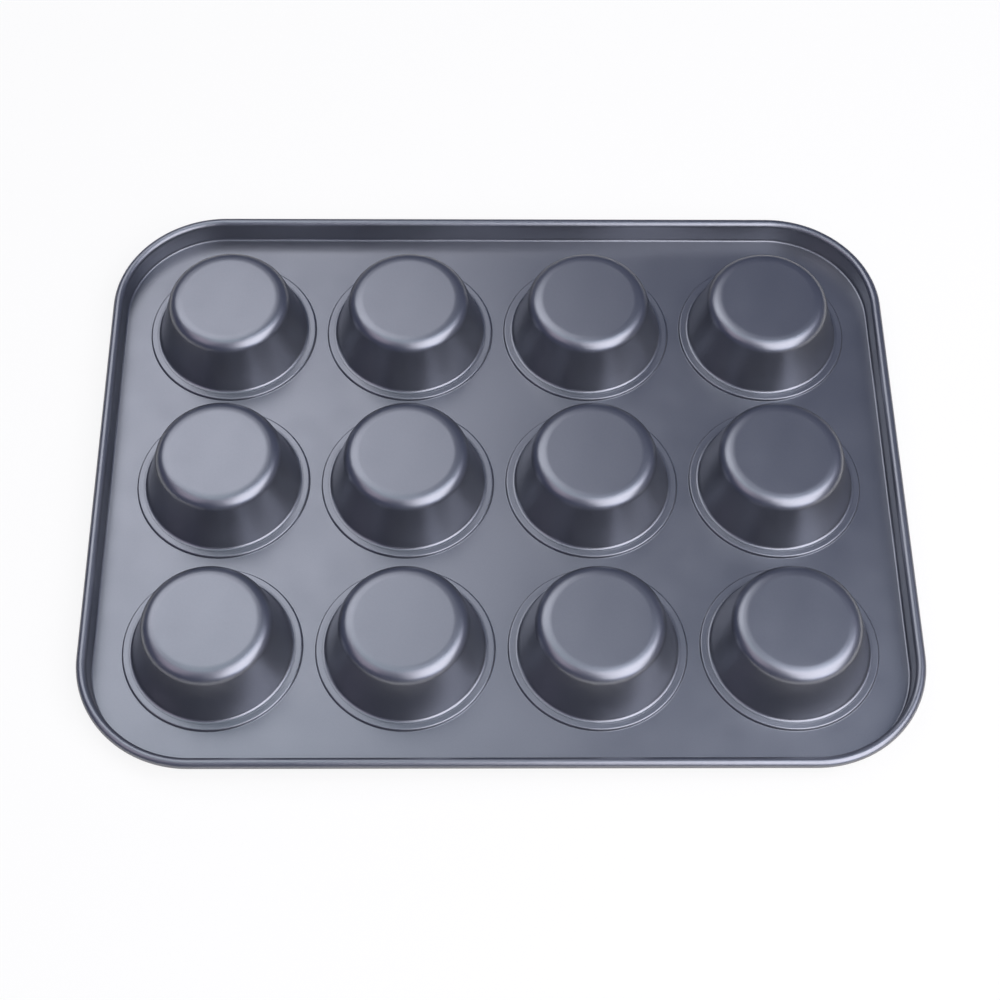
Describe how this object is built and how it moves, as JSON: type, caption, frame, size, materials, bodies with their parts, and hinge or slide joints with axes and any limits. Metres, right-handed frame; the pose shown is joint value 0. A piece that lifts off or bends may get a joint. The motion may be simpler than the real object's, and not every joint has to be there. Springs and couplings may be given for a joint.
{
  "type": "muffin tin",
  "caption": "Muffin tin: a flat deck with a low skirt and a wire-stiffened curled rim, holding rows of round tapered flat-bottomed cups. It lies face down, cup bottoms up.",
  "frame": {"origin": "centre of the tin on the plane of the deck's use side, which the inverted tin rests on", "axes": "+Z from the use side of the deck towards the cups' bottoms, so the tin lies upside down compared with use; +X along the tin's length, from column 1 to column 4; +Y from row 3 to row 1"},
  "size_m": [0.3482, 0.2742, 0.0269],
  "materials": {
    "coated_steel": "satin dark blue-grey non-stick coating on pressed carbon steel",
    "steel_wire": "plain drawn steel wire, closed in by the curl"
  },
  "bodies": {
    "root": {"deck_panel": "coated_steel", "rim_wire": "steel_wire", "cup_r1c1": "coated_steel", "cup_r1c2": "coated_steel", "cup_r1c3": "coated_steel", "cup_r1c4": "coated_steel", "cup_r2c1": "coated_steel", "cup_r2c2": "coated_steel", "cup_r2c3": "coated_steel", "cup_r2c4": "coated_steel", "cup_r3c1": "coated_steel", "cup_r3c2": "coated_steel", "cup_r3c3": "coated_steel", "cup_r3c4": "coated_steel"}
  },
  "joints": []
}
